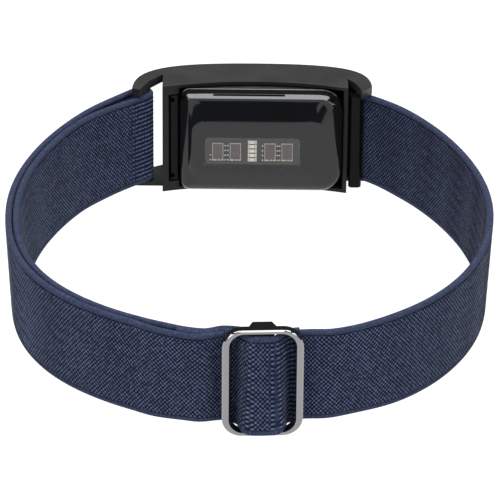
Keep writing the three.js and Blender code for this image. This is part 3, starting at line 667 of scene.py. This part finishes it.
def photodiode(number):
    """A dark purple die with a pale gold frame round it and gold pads along its foot."""
    node = f"photodiode_{number}"
    low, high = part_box(node)
    front_y, frame_y, rim, foot = low.y, low.y + 0.05 * MM, 0.16 * MM, 0.42 * MM
    boxes = [
        (low + Vector((0, 0.12 * MM, 0)), high, 0),
        (Vector((low.x + rim, frame_y, low.z + foot)),
         Vector((high.x - rim, high.y - 0.1 * MM, high.z - rim)), 0),
        (Vector((low.x, front_y, low.z)), Vector((low.x + rim, low.y + 0.2 * MM, high.z)), 1),
        (Vector((high.x - rim, front_y, low.z)), Vector((high.x, low.y + 0.2 * MM, high.z)), 1),
        (Vector((low.x, front_y, high.z - rim)), Vector((high.x, low.y + 0.2 * MM, high.z)), 1),
    ]
    width = high.x - low.x
    for start, end in ((0.0, 0.42), (0.5, 0.72), (0.78, 1.0)):
        boxes.append((Vector((low.x + start * width, front_y, low.z)),
                      Vector((low.x + end * width, low.y + 0.2 * MM, low.z + foot * 0.85)), 1))
    piece = blocks(f"die_{number}", boxes, ["diode", "gold"], "tracker")
    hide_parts(node)


def emitter(number):
    """A cream die on gold pads."""
    node = f"emitter_{number}"
    low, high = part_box(node)
    width, tall = high.x - low.x, high.z - low.z
    boxes = [
        (Vector((low.x + 0.24 * width, low.y, low.z + 0.12 * tall)),
         Vector((high.x - 0.24 * width, high.y, high.z - 0.12 * tall)), 0),
        (Vector((low.x, low.y + 0.08 * MM, low.z)),
         Vector((low.x + 0.2 * width, high.y, high.z)), 1),
        (Vector((high.x - 0.2 * width, low.y + 0.08 * MM, low.z)),
         Vector((high.x, high.y, high.z)), 1),
    ]
    piece = blocks(f"lamp_{number}", boxes, ["emitter", "gold"], "tracker")
    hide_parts(node)


for number in range(1, 5):
    photodiode(number)
for number in range(1, 6):
    emitter(number)


def bond_dots():
    """Small solder dots in columns beside the dies, on the optical barrier."""
    low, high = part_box("optical_barrier")
    boxes = []
    rows = {1: (-1, 3), 2: (-1, 4), 3: (-1, 4), 4: (-1, 4)}
    for number in rows:
        die_low, die_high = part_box(f"photodiode_{number}")
        for side, edge in ((-1, die_low.x), (1, die_high.x)):
            if (number, side) == (4, 1) or (number, side) == (2, 1):
                continue
            count = 2 if (number, side) == (1, -1) else 4
            for i in range(count):
                x = edge + side * 0.42 * MM
                z = die_low.z + (0.25 + i * 1.15) * MM
                r = 0.13 * MM
                boxes.append((Vector((x - r, low.y - 0.05 * MM, z - r)),
                              Vector((x + r, low.y + 0.1 * MM, z + r)), 0))
    blocks("bond_dots", boxes, ["solder"], "tracker")


bond_dots()

# ------------------------------------------------------------------ floor, light and camera

def floor():
    bpy.ops.mesh.primitive_plane_add(size=12, location=(0, 2.0, 0))
    plane = bpy.context.object
    plane.name = "floor"
    m = Shader("floor_white", Base_Color=(0.12, 0.12, 0.12), Roughness=0.9, Specular_IOR_Level=0.0,
               Emission_Color=(1, 1, 1), Emission_Strength=1.0)
    plane.data.materials.append(m.material)


def area_light(name, place_at, look_at, size, power, size_y=None, colour=(1, 1, 1)):
    data = bpy.data.lights.new(name, "AREA")
    data.shape = "RECTANGLE"
    data.size, data.size_y = size, size_y or size
    data.energy = power
    data.color = colour
    light = bpy.data.objects.new(name, data)
    light.location = place_at
    light.rotation_mode = "QUATERNION"
    light.rotation_quaternion = (Vector(look_at) - Vector(place_at)).to_track_quat("-Z", "Y")
    bpy.context.scene.collection.objects.link(light)


floor()
area_light("overhead", (0, 0.1, 1.5), (0, 0, 0), 2.2, 62)
area_light("front_left", (-1.1, -1.2, 0.7), (0, 0, 0.02), 0.9, 14)
area_light("front_right", (1.2, -1.1, 0.7), (0, 0, 0.02), 0.9, 14)
world = bpy.data.worlds.new("studio")
world.use_nodes = True
world.node_tree.nodes["Background"].inputs["Color"].default_value = (1, 1, 1, 1)
world.node_tree.nodes["Background"].inputs["Strength"].default_value = 0.05
bpy.context.scene.world = world
bpy.context.scene.view_settings.view_transform = "Standard"

camera_data = bpy.data.cameras.new("camera")
camera_data.lens = 299.06
camera_data.sensor_width = 36
camera = bpy.data.objects.new("camera", camera_data)
bpy.context.scene.collection.objects.link(camera)
CAMERA_PLACE = place(2.4, -744.989, 409.2)
CAMERA_AIM = place(-0.73, 2.721, 4.96)
look = (CAMERA_AIM - CAMERA_PLACE).to_track_quat("-Z", "Y")
camera.location = CAMERA_PLACE
camera.rotation_mode = "QUATERNION"
camera.rotation_quaternion = look @ Matrix.Rotation(math.radians(0.4735), 3, "Z").to_quaternion()
camera_data.clip_start, camera_data.clip_end = 0.05, 50
camera_data.dof.use_dof = False
bpy.context.scene.camera = camera
